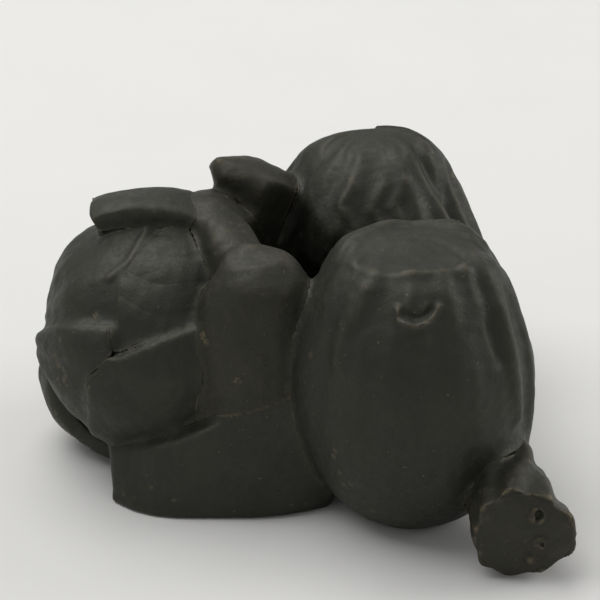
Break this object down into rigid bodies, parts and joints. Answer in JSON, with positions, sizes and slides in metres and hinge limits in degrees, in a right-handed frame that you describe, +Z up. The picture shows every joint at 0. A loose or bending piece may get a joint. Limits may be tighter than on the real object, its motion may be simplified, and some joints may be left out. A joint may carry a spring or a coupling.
{
  "type": "lid rest",
  "caption": "Low cast metal rest for a kettle lid or ladle, in the form of a twig with ribbed fruits and a scaled bud round a small well.",
  "frame": {"origin": "on the ground under the middle of the object's box", "axes": "+Z up, -Y towards the viewer of the picture, +X to the viewer's right"},
  "size_m": [0.087, 0.0804, 0.048],
  "materials": {
    "dark_bronze": "green-black patina, satin, cast",
    "worn_bronze": "patina worn brownish on the ridges, satin"
  },
  "bodies": {
    "root": {"front_fruit": "dark_bronze", "rear_fruit": "dark_bronze", "bud_core": "dark_bronze", "calyx_ring": "worn_bronze", "calyx_front": "worn_bronze", "calyx_rear": "worn_bronze", "twig": "worn_bronze", "upper_scale": "dark_bronze", "top_scale": "dark_bronze", "side_scale": "dark_bronze", "nose_scale": "dark_bronze", "base_scale": "dark_bronze", "curled_scale": "dark_bronze", "rear_upper_scale": "dark_bronze", "rear_side_scale": "dark_bronze", "rear_base_scale": "dark_bronze"}
  },
  "joints": []
}
